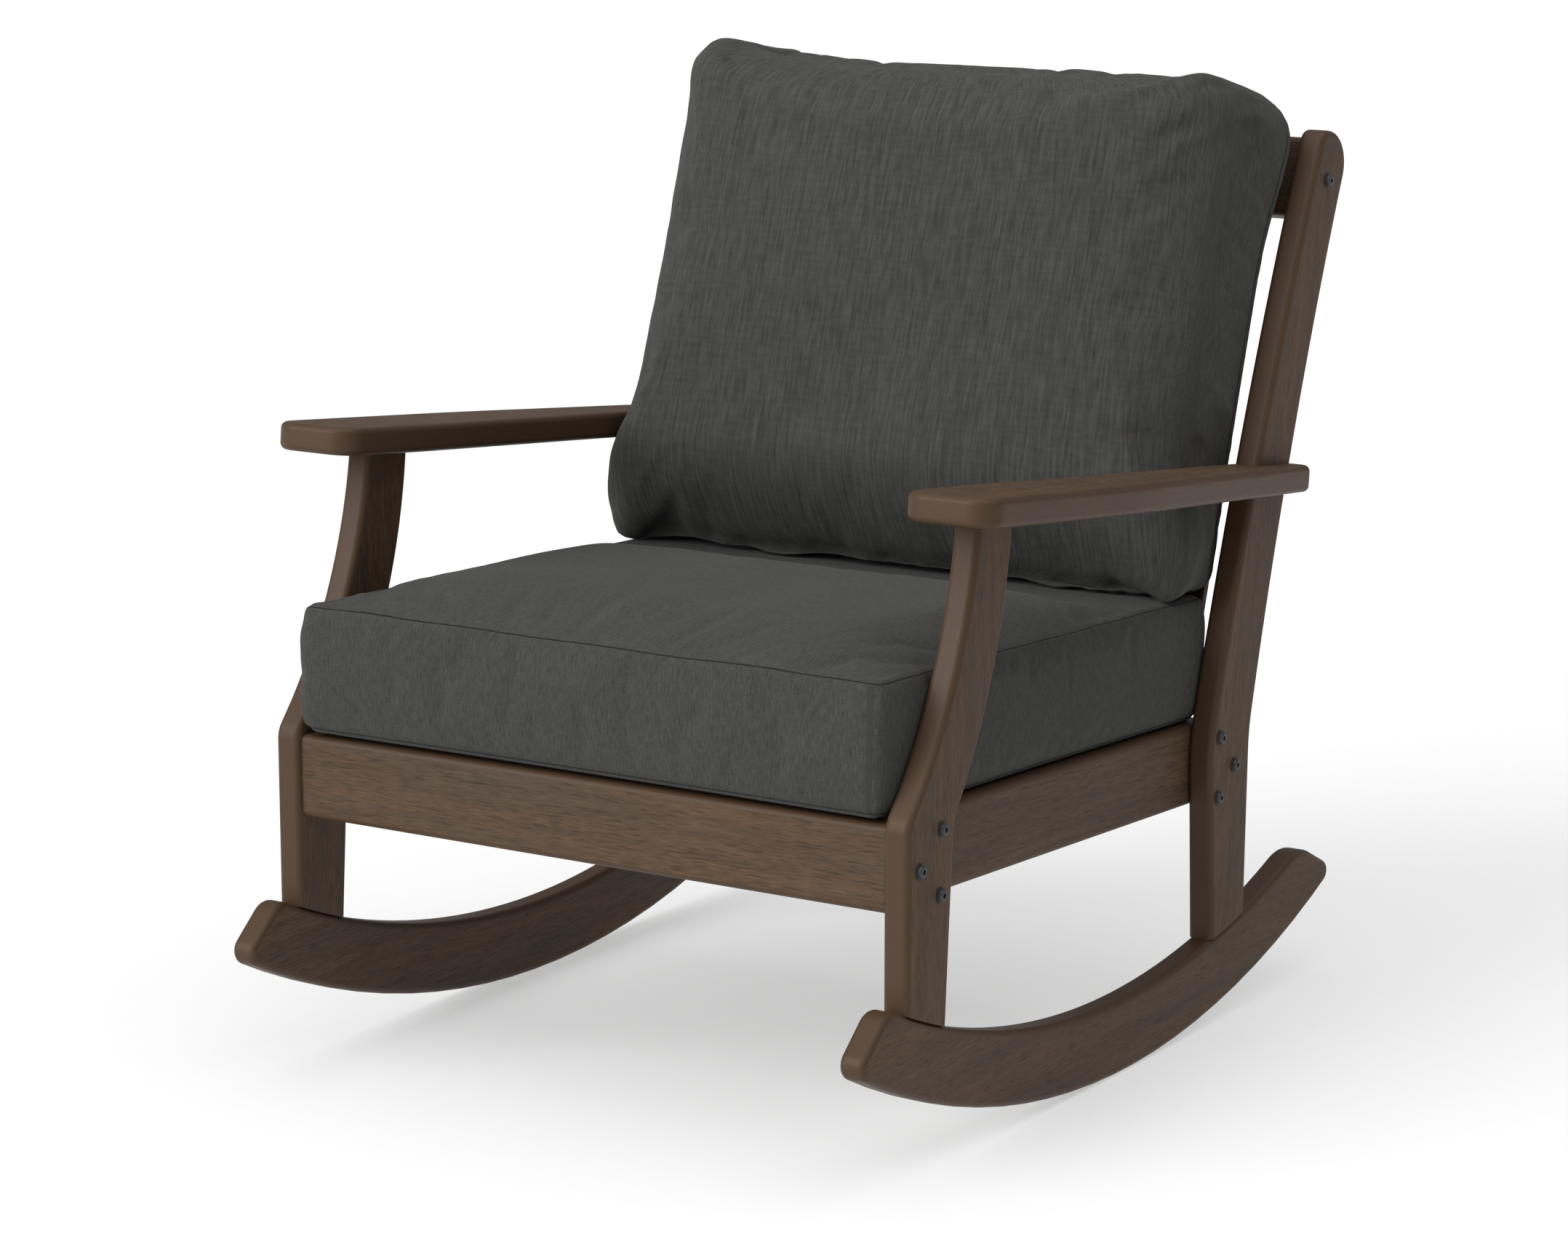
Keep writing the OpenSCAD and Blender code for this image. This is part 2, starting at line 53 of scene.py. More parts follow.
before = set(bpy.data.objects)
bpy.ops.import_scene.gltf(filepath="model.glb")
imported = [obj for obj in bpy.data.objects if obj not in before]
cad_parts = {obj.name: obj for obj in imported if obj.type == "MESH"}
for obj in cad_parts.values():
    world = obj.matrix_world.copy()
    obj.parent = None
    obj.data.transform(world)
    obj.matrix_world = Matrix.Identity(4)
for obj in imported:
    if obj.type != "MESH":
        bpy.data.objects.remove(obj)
CAD_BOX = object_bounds()

MM = 0.001
FLAT = 2e-5

# ---- The chair's own axes, in metres from the middle of its footprint ----

LEG_FACE_Y = -0.3669
HALF_WIDTH = 0.308
BOARD_THICKNESS = 0.0254
SEAT_TILT = radians(2.45)
SEAT_ORIGIN = Vector((0, LEG_FACE_Y, 0.2338))
BACK_TILT = radians(17.67)
BACK_ORIGIN = Vector((0, LEG_FACE_Y + 0.589, 0.2448))
SEAT_DEEP = Vector((0, cos(SEAT_TILT), -sin(SEAT_TILT)))
SEAT_UP = Vector((0, sin(SEAT_TILT), cos(SEAT_TILT)))
BACK_UP = Vector((0, sin(BACK_TILT), cos(BACK_TILT)))
BACK_FRONT = Vector((0, -cos(BACK_TILT), sin(BACK_TILT)))
ACROSS = Vector((1, 0, 0))
UPRIGHT = Vector((0, 0, 1))
FORE_AND_AFT = Vector((0, 1, 0))

ROCKERS = ("left_rocker", "right_rocker")
FRONT_LEGS = ("left_front_leg", "right_front_leg")
REAR_LEGS = ("left_rear_leg", "right_rear_leg")
CROSS_RAILS = ("front_rail", "rear_rail", "top_rail")
SIDE_BOARDS = ("left_side_rail", "right_side_rail", "left_seat_cleat", "right_seat_cleat")
SEAT_SLATS = tuple(n for n in sorted(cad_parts) if n.startswith("seat_slat_") and n[-1].isdigit())
BACK_SLATS = tuple(n for n in sorted(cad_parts) if n.startswith("back_slat_") and n[-1].isdigit())
ARMS = ("left_arm", "right_arm")
BOLTS = ("front_leg_bolts", "rear_leg_bolts", "top_rail_bolts")
SCREWS = ("side_rail_nuts", "barrel_nuts", "rocker_screws", "arm_screws", "arm_studs",
          "cleat_screws", "seat_slat_screws", "back_slat_screws")


# ---- Finishes ----

class Value:
    """One output of a finish's nodes, that sums can be written on."""

    def __init__(self, finish, socket):
        self.finish, self.socket = finish, socket

    def sum(self, operation, *inputs):
        return self.finish.node("ShaderNodeMath", {"operation": operation}, dict(enumerate(inputs)))

    def __add__(self, other):
        return self.sum("ADD", self, other)

    def __sub__(self, other):
        return self.sum("SUBTRACT", self, other)

    def __rsub__(self, other):
        return self.sum("SUBTRACT", other, self)

    def __mul__(self, other):
        return self.sum("MULTIPLY", self, other)

    def __gt__(self, other):
        return self.sum("GREATER_THAN", self, other)

    def __abs__(self):
        return self.sum("ABSOLUTE", self)

    __radd__, __rmul__ = __add__, __mul__

    def between(self, low, high):
        """0 below low, 1 above high, and a smooth step from one to the other."""
        return self.finish.node("ShaderNodeMapRange", {"interpolation_type": "SMOOTHSTEP"},
                                {"Value": self, "From Min": low, "From Max": high})


class Finish:
    """A material made of nodes."""

    def __init__(self, name, **constants):
        self.material = bpy.data.materials.new(name)
        self.material.use_nodes = True
        self.nodes, self.links = self.material.node_tree.nodes, self.material.node_tree.links
        self.shader = self.nodes["Principled BSDF"]
        for socket, value in constants.items():
            self.shader.inputs[socket.replace("_", " ")].default_value = value

    def node(self, kind, settings=None, inputs=None, output=0):
        """Any node: its settings first, then the values or links of its sockets."""
        made = self.nodes.new(kind)
        for name, value in (settings or {}).items():
            setattr(made, name, value)
        for name, value in (inputs or {}).items():
            self.put(made.inputs[name], value)
        return Value(self, made.outputs[output])

    def put(self, socket, value):
        """Links a value to a socket, or sets the socket to a number or to as much of a list as it holds."""
        if isinstance(value, Value):
            self.links.new(value.socket, socket)
        elif hasattr(value, "__len__"):
            socket.default_value = value[:len(socket.default_value)]
        else:
            socket.default_value = value

    def attribute(self, name, output="Vector"):
        return self.node("ShaderNodeAttribute", {"attribute_name": name}, output=output)

    def stretch(self, vector, x, y, z):
        return self.node("ShaderNodeVectorMath", {"operation": "MULTIPLY"}, {0: vector, 1: (x, y, z)})

    def shift(self, vector, x=0.0, y=0.0):
        offset = self.node("ShaderNodeCombineXYZ", None, {0: x, 1: y})
        return self.node("ShaderNodeVectorMath", {"operation": "ADD"}, {0: vector, 1: offset})

    def noise(self, vector, detail=2.0, roughness=0.5, scale=1.0):
        return self.node("ShaderNodeTexNoise", None,
                         {"Vector": vector, "Scale": scale, "Detail": detail, "Roughness": roughness})

    def mix(self, share, one, other):
        return self.node("ShaderNodeMix", {"data_type": "RGBA"}, {0: share, 6: one, 7: other}, 2)

    def mix_vector(self, share, one, other):
        return self.node("ShaderNodeMix", {"data_type": "VECTOR"}, {0: share, 4: one, 5: other}, 1)

    def brighten(self, colour, amount):
        return self.node("ShaderNodeVectorMath", {"operation": "SCALE"}, {0: colour, "Scale": amount})

    def bump(self, height, distance):
        return self.node("ShaderNodeBump", None, {"Height": height, "Distance": distance, "Strength": 1.0})

    def wear(self, **links):
        """Gives the shader what varies over the surface, and returns the material."""
        for socket, value in links.items():
            self.put(self.shader.inputs[socket.replace("_", " ")], value)
        return self.material


def rgba(colour):
    return (*colour, 1.0)


def board_finish(settings):
    """Stained plank: long bands, short streaks and dark pores on the broad faces, sanded plain edges."""
    made = Finish("stained_board", Specular_IOR_Level=0.20)
    grain = made.attribute("grain")
    face = made.attribute("broad_face", "Fac")
    wander = (made.noise(made.stretch(grain, 2.2, 14, 14)) - 0.5) * 0.012
    ripple = (made.noise(made.stretch(grain, 26, 60, 60)) - 0.5) * 0.0022
    grain = made.shift(grain, y=wander + ripple)
    bands = made.noise(made.stretch(grain, 2.4, 24, 24), 2.0, 0.55)
    strands = made.noise(made.stretch(grain, 9, 120, 120), 2.0, 0.6)
    streaks = made.noise(made.stretch(grain, 62, 620, 620), 1.5, 0.6)
    pores = made.noise(made.stretch(grain, 48, 820, 820), 0.0).between(0.64, 0.76)
    sand = made.noise(grain, 1.0, 0.6, 1500)
    blotch = made.noise(grain, 2.0, 0.5, 9)

    broad = made.mix(bands.between(0.36, 0.66), rgba(settings.warm), rgba(settings.grey))
    shade = -0.06 + bands * 0.20 + strands * 0.70 + streaks * settings.streak
    broad = made.brighten(broad, shade)
    broad = made.mix(pores * settings.pores, broad, rgba(settings.pore_colour))
    edge = made.brighten(rgba(settings.edge), 0.80 + sand * 0.22 + blotch * 0.18)
    colour = made.mix(face, edge, broad)
    height = (streaks * 0.8 + strands * 0.4 - pores * 0.6) * face + sand * 0.12
    return made.wear(
        Base_Color=colour,
        Roughness=0.40 + face * 0.12 + streaks * 0.16,
        Normal=made.bump(height, settings.relief * MM),
    )


def cloth_finish(settings):
    """Heathered outdoor cloth: fine threads with slubs, mottled in soft patches, with painted shade along its
    seams.
    """
    made = Finish("charcoal_cloth", Specular_IOR_Level=0.10, Sheen_Weight=0.05, Sheen_Roughness=0.55)
    seam = made.attribute("seam", "Fac")
    weave = made.mix_vector(seam > 0, made.attribute("panel_thread"), made.attribute("band_thread"))
    slant = (made.noise(made.stretch(weave, 30, 12, 1)) - 0.5) * 0.0030
    weave = made.shift(weave, x=slant)
    threads = made.noise(made.stretch(weave, 1100, 70, 1), 1.0, 0.5)
    slubs = made.noise(made.stretch(weave, 700, 135, 1), 1.5, 0.6)
    ribs = made.noise(made.stretch(weave, 420, 20, 1), 1.0, 0.5)
    wefts = made.noise(made.stretch(weave, 110, 900, 1), 1.0, 0.5)
    patches = made.noise(made.stretch(weave, 150, 90, 1), 2.0, 0.6)
    clouds = made.noise(weave, 2.0, 0.5, 14)

    share = slubs * 0.48 + threads * 0.46 + wefts * 0.24 + patches * 0.12 + ribs * 0.07 + clouds * 0.14
    colour = made.mix(share.between(0.38, 1.13), rgba(settings.dark), rgba(settings.light))
    # painted shade: the sewn lines are darkened almost to black, standing in for the shade in the crease there
    seam_shade = 1 - abs(seam).between(settings.seam_width * 0.3 * MM, settings.seam_width * MM)
    colour = made.mix(seam_shade * 0.92, colour, rgba(settings.seam_shade_colour))
    height = threads * 0.6 + slubs * 0.6 + wefts * 0.35 + ribs * 0.08
    return made.wear(Base_Color=colour, Roughness=0.86 + threads * 0.12,
                     Normal=made.bump(height, settings.relief * MM))


def metal_finish(name, colour, metallic, roughness, worn):
    """Coated or plated steel with fine mottling and faintly rubbed patches."""
    made = Finish(name, Metallic=metallic)
    place = made.node("ShaderNodeTexCoord", output="Object")
    mottle = made.noise(place, 3.0, 0.6, 900)
    rubbed = made.noise(place, 2.0, 0.5, 160).between(0.55, 0.75)
    shade = made.mix(rubbed * 0.5, rgba(colour), rgba(worn))
    return made.wear(Base_Color=made.brighten(shade, 0.8 + mottle * 0.4),
                     Roughness=roughness - 0.08 + mottle * 0.16,
                     Normal=made.bump(mottle, 0.04 * MM))


def foam_finish():
    """Open-cell foam."""
    made = Finish("seat_foam", Specular_IOR_Level=0.1)
    place = made.node("ShaderNodeTexCoord", output="Object")
    cells = made.node("ShaderNodeTexVoronoi", None, {"Vector": place, "Scale": 700})
    cloudy = made.noise(place, 2.0, 0.5, 20)
    return made.wear(Base_Color=made.mix(cloudy, (0.62, 0.56, 0.40, 1), (0.74, 0.70, 0.56, 1)),
                     Roughness=0.85 + cells * 0.1, Normal=made.bump(cells, 0.5 * MM))


def floor_finish(colour, glow):
    """Matt pale studio floor."""
    made = Finish("pale_floor", Specular_IOR_Level=0.0, Emission_Color=(1, 1, 1, 1), Emission_Strength=glow)
    place = made.node("ShaderNodeTexCoord", output="Object")
    grit = made.noise(place, 2.0, 0.5, 40)
    return made.wear(Base_Color=made.brighten(rgba(colour), 0.985 + grit * 0.03), Roughness=0.9 + grit * 0.08)


def finish_once(name, make, *values):
    """The finish of that name, made the first time it is asked for."""
    return bpy.data.materials.get(name) or make(*values)


def dress(piece, material):
    piece.data.materials.clear()
    piece.data.materials.append(material)


# ---- Boards ----

def broad_axis(bm):
    """The direction of a board's thickness: the normal that has the most area."""
    areas = {}
    for face in bm.faces:
        key = tuple(abs(round(c, 2)) for c in face.normal)
        total = areas.setdefault(key, [0.0, face.normal.copy()])
        total[0] += face.calc_area()
    normal = max(areas.values(), key=lambda total: total[0])[1].normalized()
    return normal if max(normal, key=abs) > 0 else -normal


def loops_at(bm, axis, height):
    """The closed edges of the flat face at that height, as lists of points, longest first."""
    level = {f for f in bm.faces if all(abs(v.co.dot(axis) - height) < FLAT for v in f.verts)}
    rim = {e for f in level for e in f.edges if sum(g in level for g in e.link_faces) == 1}
    loops = []
    while rim:
        edge = rim.pop()
        start, here = edge.verts
        points = [start.co.copy(), here.co.copy()]
        while here is not start:
            edge = next(e for e in here.link_edges if e in rim)
            rim.discard(edge)
            here = edge.other_vert(here)
            points.append(here.co.copy())
        loops.append(points[:-1])
    return sorted(loops, key=lambda loop: -sum((a - b).length for a, b in zip(loop, loop[1:] + loop[:1])))


def without_needless(loop):
    """The loop without the points on the straight line between their neighbours, or at the tip of a spike."""
    kept, at = list(loop), 0
    while at < len(kept):
        before, here, after = kept[at - 1], kept[at], kept[(at + 1) % len(kept)]
        way = after - before
        spike = (here - before).normalized().dot((after - here).normalized()) < -0.9
        if spike or (here - before).cross(way).length < 0.01 * MM * way.length:
            del kept[at]
        else:
            at += 1
    return kept


def prism(bm, loop, axis, depth):
    """A closed prism from a loop of points down along -axis; returns its two rings of corners."""
    rings = [[bm.verts.new(p - axis * d) for p in loop] for d in (0, depth)]
    bm.faces.new(rings[0])
    bm.faces.new(rings[1])
    for i in range(len(loop)):
        bm.faces.new((rings[0][i - 1], rings[0][i], rings[1][i], rings[1][i - 1]))
    bmesh.ops.recalc_face_normals(bm, faces=bm.faces)
    return rings


def new_piece(name, bm):
    mesh = bpy.data.meshes.new(name)
    bm.to_mesh(mesh)
    bm.free()
    piece = bpy.data.objects.new(name, mesh)
    bpy.context.scene.collection.objects.link(piece)
    return piece


def settle_modifiers(piece):
    """Turns the piece's modifiers into plain mesh."""
    graph = bpy.context.evaluated_depsgraph_get()
    graph.update()
    mesh = bpy.data.meshes.new_from_object(piece.evaluated_get(graph))
    piece.modifiers.clear()
    old, piece.data = piece.data, mesh
    mesh.name = piece.name
    bpy.data.meshes.remove(old)


def board(node, along, roundover, square):
    """A plank with its long edges rounded over, in the place of a CAD board.
    square(middle of an edge, its share of the board's length) is true where an edge stays square.
    A bore that shows on one broad face only is drilled half way."""
    source = bmesh.new()
    source.from_mesh(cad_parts[node].data)
    bmesh.ops.remove_doubles(source, verts=source.verts, dist=1e-5)
    axis = broad_axis(source)
    heights = [v.co.dot(axis) for v in source.verts]
    low, high = min(heights), max(heights)
    outline, *bores = loops_at(source, axis, high)
    outline = without_needless(outline)
    far_bores = loops_at(source, axis, low)[1:]
    source.free()
    along = (along - axis * along.dot(axis)).normalized()
    across = axis.cross(along)
    ends = [p.dot(along) for p in outline]

    bm = bmesh.new()
    rings = prism(bm, outline, axis, high - low)
    rim = []
    for ring in rings:
        for a, b in zip(ring, ring[1:] + ring[:1]):
            middle = (a.co + b.co) / 2
            share = (middle.dot(along) - min(ends)) / (max(ends) - min(ends))
            if not square(middle, share):
                rim.append(bm.edges.get((a, b)))
    bmesh.ops.bevel(bm, geom=rim, offset=roundover * MM, offset_type="OFFSET", segments=5,
                    profile=0.5, affect="EDGES", clamp_overlap=False)
    piece = new_piece(f"{node}_board", bm)

    if bores or far_bores:
        cutter = bmesh.new()
        through = []
        for loop in bores:
            centre = sum(loop, Vector()) / len(loop)
            same = [far for far in far_bores
                    if (sum(far, Vector()) / len(far) - centre).cross(axis).length < 0.5 * MM]
            through += same
            depth = (high - low) * (1.0 if same else 0.5) + 2 * MM
            prism(cutter, [p + axis * MM for p in loop], axis, depth)
        for loop in far_bores:
            if not any(loop is other for other in through):
                prism(cutter, [p - axis * MM for p in loop], -axis, (high - low) * 0.5 + MM)
        drill = new_piece("drill", cutter)
        cut = piece.modifiers.new("Bores", "BOOLEAN")
        cut.object, cut.operation, cut.solver = drill, "DIFFERENCE", "EXACT"
        settle_modifiers(piece)
        bpy.data.objects.remove(drill)

    mesh = piece.data
    faces = bmesh.new()
    faces.from_mesh(mesh)
    bmesh.ops.triangulate(faces, faces=[face for face in faces.faces if len(face.verts) > 4])
    faces.to_mesh(mesh)
    faces.free()
    # each plank is cut from another place in the grain
    place = random.Random(node)
    start = Vector((place.uniform(0, 9), place.uniform(0, 9), place.uniform(0, 9)))
    co = coordinates(mesh)
    height = co @ np.array(axis)
    columns = [co @ np.array(way) + shift for way, shift in zip((along, across, axis), start)]
    vectors(mesh, "grain", *columns)
    floats(mesh, "broad_face", np.minimum(height - low, high - height) < FLAT)
    finish_mesh(piece, 35)
    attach(piece, "frame")
    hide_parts(node)
    dress(piece, finish_once("stained_board", board_finish, bpy.context.scene.chair_boards))
    return piece


def finish_mesh(piece, sharp):
    """Smooth shading that keeps flat faces flat and square corners crisp."""
    bm = bmesh.new()
    bm.from_mesh(piece.data)
    for face in bm.faces:
        face.smooth = True
    for edge in bm.edges:
        edge.smooth = len(edge.link_faces) == 2 and edge.calc_face_angle(0) < radians(sharp)
    bm.to_mesh(piece.data)
    bm.free()
    flat = piece.modifiers.new("Flat faces", "WEIGHTED_NORMAL")
    flat.keep_sharp = True


def never(middle, share):
    return False


def at_ends(middle, share):
    return not 0.002 <= share <= 0.998


# ---- Fasteners ----

def islands(node):
    """The lowest and highest corner of each separate solid in a CAD node."""
    bm = bmesh.new()
    bm.from_mesh(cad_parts[node].data)
    bmesh.ops.remove_doubles(bm, verts=bm.verts, dist=1e-5)
    left, boxes = set(bm.verts), []
    while left:
        group, queue = set(), [left.pop()]
        while queue:
            v = queue.pop()
            group.add(v)
            for edge in v.link_edges:
                other = edge.other_vert(v)
                if other in left:
                    left.discard(other)
                    queue.append(other)
        co = [v.co for v in group]
        boxes.append((Vector(map(min, zip(*co))), Vector(map(max, zip(*co)))))
    bm.free()
    return boxes


def turned(bm, centre, side, profile):
    """A body turned about X: (distance out, radius, corners) rings. With corners, a ring is a polygon."""
    rings, sides = [], 36
    for out, radius, corners in profile:
        ring = []
        for i in range(sides):
            angle = tau * i / sides
            reach = radius
            if corners:
                step = tau / corners
                reach = radius * cos(step / 2) / cos((angle % step) - step / 2)
            ring.append(bm.verts.new((centre[0] + side * out,
                                      centre[1] + reach * cos(angle), centre[2] + reach * sin(angle))))
        rings.append(ring)
    for near, far in zip(rings, rings[1:]):
        for i in range(sides):
            bm.faces.new((near[i - 1], near[i], far[i], far[i - 1]))
    bm.faces.new(rings[0])
    bm.faces.new(rings[-1])


def bolt_heads(node):
    """Domed bolt heads with a hexagon socket, on their shanks."""
    bm = bmesh.new()
    for low, high in islands(node):
        side = 1 if low.x > 0 else -1
        outer, inner = (high.x, low.x) if side > 0 else (low.x, high.x)
        length = abs(outer - inner)
        radius = (high.y - low.y) / 2
        head, rim = 3.4 * MM, 0.5 * MM
        dome = [(-head, radius, 0), (-head + rim, radius, 0)]
        dome += [(-head + rim + (head - rim) * sin(t), radius * (1 - 0.42 * (1 - cos(t))), 0)
                 for t in (radians(a) for a in (15, 35, 55, 75, 90))]
        socket = [(0, 2.75 * MM, 6), (-0.25 * MM, 2.5 * MM, 6),
                  (-2.2 * MM, 2.45 * MM, 6), (-2.5 * MM, 1.0 * MM, 6)]
        shank = [(-length, 3.0 * MM, 0), (-head - 0.01 * MM, 3.0 * MM, 0)]
        turned(bm, (outer, (low.y + high.y) / 2, (low.z + high.z) / 2), side, shank + dome + socket)
    bmesh.ops.recalc_face_normals(bm, faces=bm.faces)
    piece = new_piece(f"{node}_domed", bm)
    finish_mesh(piece, 40)
    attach(piece, "frame")
    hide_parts(node)
    return piece


def washers():
    """Dished washers with an eased rim."""
    bm = bmesh.new()
    for low, high in islands("bolt_washers"):
        side = 1 if low.x > 0 else -1
        outer = high.x if side > 0 else low.x
        thick, radius = high.x - low.x, (high.y - low.y) / 2
        turned(bm, (outer, (low.y + high.y) / 2, (low.z + high.z) / 2), side, [
            (-thick, 3.5 * MM, 0), (-thick, radius, 0), (-0.35 * thick, radius, 0),
            (-0.08 * thick, radius - 0.25 * MM, 0), (0, radius - 0.6 * MM, 0), (0, 3.5 * MM, 0)])
    bmesh.ops.recalc_face_normals(bm, faces=bm.faces)
    piece = new_piece("bolt_washers_dished", bm)
    finish_mesh(piece, 40)
    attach(piece, "frame")
    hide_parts("bolt_washers")
    return piece


# ---- Cushions ----

PANEL_INSET = 0.03  # how far in from a cushion's edge its panels run flat


def rounded_outline(half_u, half_v, low_radius, high_radius):
    """A rounded rectangle about its middle, anticlockwise, with a point about every step."""
    points, step = [], 0.01
    for k, (su, sv) in enumerate(((1, -1), (1, 1), (-1, 1), (-1, -1))):
        radius = high_radius if sv > 0 else low_radius
        centre = ((half_u - radius) * su, (half_v - radius) * sv)
        turns = max(4, round(radius * pi / 2 / step * 1.6))
        for i in range(turns + 1):
            angle = -pi / 2 + k * pi / 2 + pi / 2 * i / turns
            points.append((centre[0] + radius * cos(angle), centre[1] + radius * sin(angle)))
    closed = []
    for a, b in zip(points, points[1:] + points[:1]):
        a, b = np.array(a), np.array(b)
        cuts = max(1, round(np.linalg.norm(b - a) / step))
        closed += [a + (b - a) * i / cuts for i in range(cuts)]
    return np.array(closed)


def outward(outline):
    """The outward normal at each point of a closed anticlockwise outline."""
    along = np.roll(outline, -1, 0) - np.roll(outline, 1, 0)
    along /= np.linalg.norm(along, axis=1)[:, None]
    return np.stack((along[:, 1], -along[:, 0]), 1)


def along_line(line, points):
    """For each point, the length along a line to the nearest place, and the distance, positive to the left."""
    a, b = line[:-1], line[1:]
    d = b - a
    size = np.maximum(np.linalg.norm(d, axis=1), 1e-9)
    start = np.concatenate(([0], np.cumsum(size)))[:-1]
    best = np.full(len(points), 1e9)
    where = np.zeros(len(points))
    offset = np.zeros(len(points))
    for i in range(len(a)):
        t = np.clip(((points - a[i]) @ d[i]) / size[i] ** 2, 0, 1)
        gap = points - (a[i] + t[:, None] * d[i])
        far = np.linalg.norm(gap, axis=1)
        side = np.sign(d[i, 0] * gap[:, 1] - d[i, 1] * gap[:, 0])
        near = far < best
        best[near], where[near] = far[near], (start[i] + t * size[i])[near]
        offset[near] = (far * side)[near]
    return where, offset


def smooth(low, high, value):
    t = np.clip((value - low) / (high - low), 0, 1)
    return t * t * (3 - 2 * t)


def bumps(points, size, seed):
    """Smooth noise from -1 to 1 over points, with lumps of about that size."""
    return np.array([noise.noise(Vector(p) / size + Vector((seed, 2.7 * seed, 5.1 * seed))) for p in points])


def coordinates(mesh):
    co = np.empty(len(mesh.vertices) * 3)
    mesh.vertices.foreach_get("co", co)
    return co.reshape(-1, 3)


def move_to(mesh, co):
    mesh.vertices.foreach_set("co", co.ravel())
    mesh.update()


def wrapped_block(name, outline, profile, voxel):
    """A closed block from an outline and an edge profile of (inset, height), meshed evenly for the cloth."""
    bm = bmesh.new()
    normals = outward(outline)
    rings = [[bm.verts.new((*(p - n * inset), height)) for p, n in zip(outline, normals)]
             for inset, height in profile]
    for near, far in zip(rings, rings[1:]):
        for i in range(len(near)):
            bm.faces.new((near[i - 1], near[i], far[i], far[i - 1]))
    bm.faces.new(reversed(rings[0]))
    bm.faces.new(rings[-1])
    bmesh.ops.recalc_face_normals(bm, faces=bm.faces)
    piece = new_piece(name, bm)
    remesh = piece.modifiers.new("Even", "REMESH")
    remesh.mode, remesh.voxel_size, remesh.adaptivity = "VOXEL", voxel, 0
    settle_modifiers(piece)
    return piece


def puff_up(piece, held, pressure, slack, cap):
    """Fills the cloth from inside, with the held points still, and lets no point move further than cap."""
    rest, frames = coordinates(piece.data), 20
    group = piece.vertex_groups.new(name="held")
    for level in (0.25, 0.5, 0.75, 1.0):
        chosen = np.nonzero(held > level - 0.125)[0]
        group.add([int(i) for i in chosen], level, "REPLACE")
    cloth = piece.modifiers.new("Cloth", "CLOTH")
    fabric = cloth.settings
    fabric.quality = 5
    fabric.mass = 0.25
    fabric.tension_stiffness = fabric.compression_stiffness = 18
    fabric.shear_stiffness = 8
    fabric.bending_stiffness = 0.6
    fabric.use_pressure = True
    fabric.uniform_pressure_force = pressure
    fabric.shrink_min = -slack
    fabric.effector_weights.gravity = 0
    fabric.vertex_group_mass = "held"
    cloth.collision_settings.use_collision = False
    cloth.point_cache.frame_start, cloth.point_cache.frame_end = 1, frames
    scene = bpy.context.scene
    for moment in range(1, frames + 1):
        scene.frame_set(moment)
    graph = bpy.context.evaluated_depsgraph_get()
    blown = coordinates(piece.evaluated_get(graph).data)
    piece.modifiers.clear()
    piece.vertex_groups.clear()
    scene.frame_set(1)
    move = blown - rest
    far = np.maximum(np.linalg.norm(move, axis=1), 1e-9)
    move *= np.minimum(1, cap / far)[:, None]
    move_to(piece.data, rest + move)


def floats(mesh, name, values):
    made = mesh.attributes.new(name, "FLOAT", "POINT")
    made.data.foreach_set("value", values.astype(np.float32))


def vectors(mesh, name, *columns):
    made = mesh.attributes.new(name, "FLOAT_VECTOR", "POINT")
    made.data.foreach_set("vector", np.stack(columns, 1).astype(np.float32).ravel())


def read_floats(mesh, name):
    values = np.empty(len(mesh.vertices), np.float32)
    mesh.attributes[name].data.foreach_get("value", values)
    return values


def edge_profile(low, high, low_round, high_round):
    """The (inset, height) points from the low panel over the band to the high panel, and their lengths along
    that line."""
    points = [(PANEL_INSET, low), (low_round, low)]
    for a in range(15, 91, 15):
        t = radians(a)
        points.append((low_round * (1 - sin(t)), low + low_round * (1 - cos(t))))
    points += [(0, low + low_round + (high - high_round - low - low_round) * s) for s in (0.25, 0.5, 0.75, 1)]
    for a in range(15, 91, 15):
        t = radians(a)
        points.append((high_round * (1 - cos(t)), high - high_round + high_round * sin(t)))
    points.append((PANEL_INSET, high))
    line = np.array(points)
    return line, np.concatenate(([0], np.cumsum(np.linalg.norm(np.diff(line, axis=0), axis=1))))


def cloth_piece(name, node, body, piece, axes):
    """Moves a cushion from its own axes into place and gives it its finish and its words."""
    piece.data.transform(axes)
    for polygon in piece.data.polygons:
        polygon.use_smooth = True
    piece.name = piece.data.name = name
    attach(piece, body)
    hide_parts(node)
    dress(piece, finish_once("charcoal_cloth", cloth_finish, bpy.context.scene.chair_cushions))
    return piece


def axes_matrix(origin, u, v, n):
    return Matrix.Translation(origin) @ Matrix((u, v, n)).transposed().to_4x4()


def node_extent(node, axes):
    """The lowest and highest corner of a CAD node in other axes."""
    back = axes.inverted()
    co = np.array([back @ v.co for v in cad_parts[node].data.vertices])
    return co.min(0), co.max(0)


def sew(piece, line, seams, outline, panel_thread, band_thread):
    """Marks how far each point lies from a sewn line, more than 0 on the band and less on the panels, and
    which way its threads run. Returns those distances, and how far each point lies in from the outline."""
    co = coordinates(piece.data)
    ring = np.vstack((outline, outline[:1]))
    around, offset = along_line(ring, co[:, :2])
    inset = np.minimum(offset, PANEL_INSET - 0.0005)
    along, _ = along_line(line, np.stack((inset, co[:, 2]), 1))
    deep = np.maximum(offset - PANEL_INSET, 0)
    seam = np.minimum(along - seams[0], seams[1] - along)
    seam = np.where(along > seams[1], -(along - seams[1]) - deep, seam)
    seam = np.where(along < seams[0], -(seams[0] - along) - deep, seam)
    floats(piece.data, "seam", seam)
    vectors(piece.data, "panel_thread", *panel_thread(co))
    vectors(piece.data, "band_thread", *band_thread(co, around, along))
    return seam, offset


